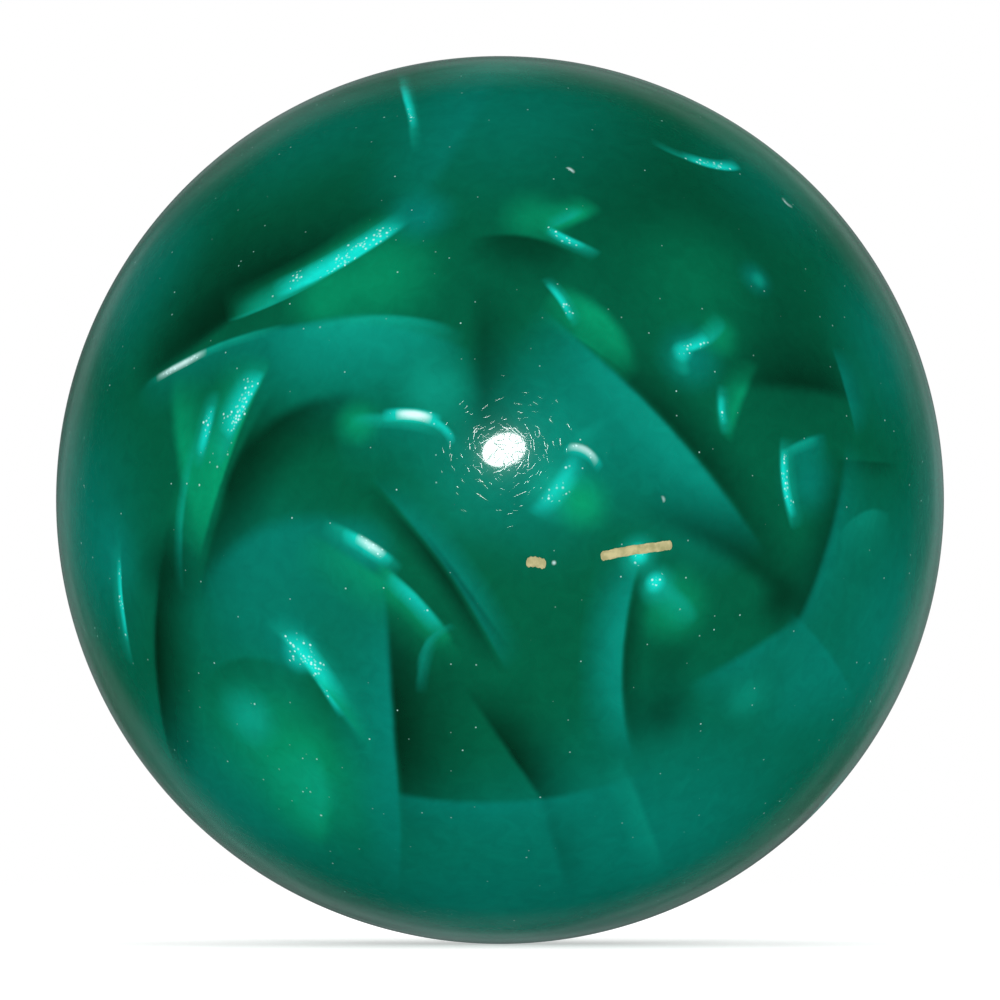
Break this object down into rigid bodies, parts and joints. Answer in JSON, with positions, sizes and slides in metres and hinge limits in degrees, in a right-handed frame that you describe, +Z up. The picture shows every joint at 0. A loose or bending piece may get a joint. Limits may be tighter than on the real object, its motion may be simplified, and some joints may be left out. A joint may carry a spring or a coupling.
{
  "type": "cue ball",
  "caption": "Green marbled pool ball in cast resin with pearl folds and two small cream marks.",
  "frame": {"origin": "centre of the ball", "axes": "+Z up through the top of the ball, the side with the two cream marks faces -Y, +X to its right"},
  "size_m": [0.0572, 0.0572, 0.0572],
  "materials": {
    "green_resin": "polished",
    "pearl_resin": "polished",
    "cream_resin": "polished"
  },
  "bodies": {
    "root": {"ball_body": "green_resin", "fold_back_curtain": "pearl_resin", "fold_back_long_streak": "pearl_resin", "fold_back_plume": "pearl_resin", "fold_back_shelf": "pearl_resin", "fold_back_slope": "pearl_resin", "fold_c_curve": "pearl_resin", "fold_centre_crest": "pearl_resin", "fold_chevron_lower": "pearl_resin", "fold_chevron_upper": "pearl_resin", "fold_crown_band": "pearl_resin", "fold_flame": "pearl_resin", "fold_hoof": "pearl_resin", "fold_hook": "pearl_resin", "fold_inner_plume": "pearl_resin", "fold_left_ridge": "pearl_resin", "fold_left_rim_crest": "pearl_resin", "fold_left_side_arc": "pearl_resin", "fold_left_side_crest": "pearl_resin", "fold_left_side_flame": "pearl_resin", "fold_long_diagonal": "pearl_resin", "fold_loop_band": "pearl_resin", "fold_lower_curtain": "pearl_resin", "fold_lower_plume": "pearl_resin", "fold_lower_right_line": "pearl_resin", "fold_middle_band": "pearl_resin", "fold_outer_plume": "pearl_resin", "fold_right_mountain": "pearl_resin", "fold_right_side_crest": "pearl_resin", "fold_right_side_sweep": "pearl_resin", "fold_right_wedge": "pearl_resin", "fold_shelf": "pearl_resin", "fold_slope_lower": "pearl_resin", "fold_slope_upper": "pearl_resin", "fold_sparkle_line": "pearl_resin", "fold_top_crest": "pearl_resin", "fold_top_sweep": "pearl_resin", "fold_under_back": "pearl_resin", "fold_under_right": "pearl_resin", "fold_upper_left_streak": "pearl_resin", "fold_upper_right_crest": "pearl_resin", "long_mark": "cream_resin", "short_mark": "cream_resin"}
  },
  "joints": []
}
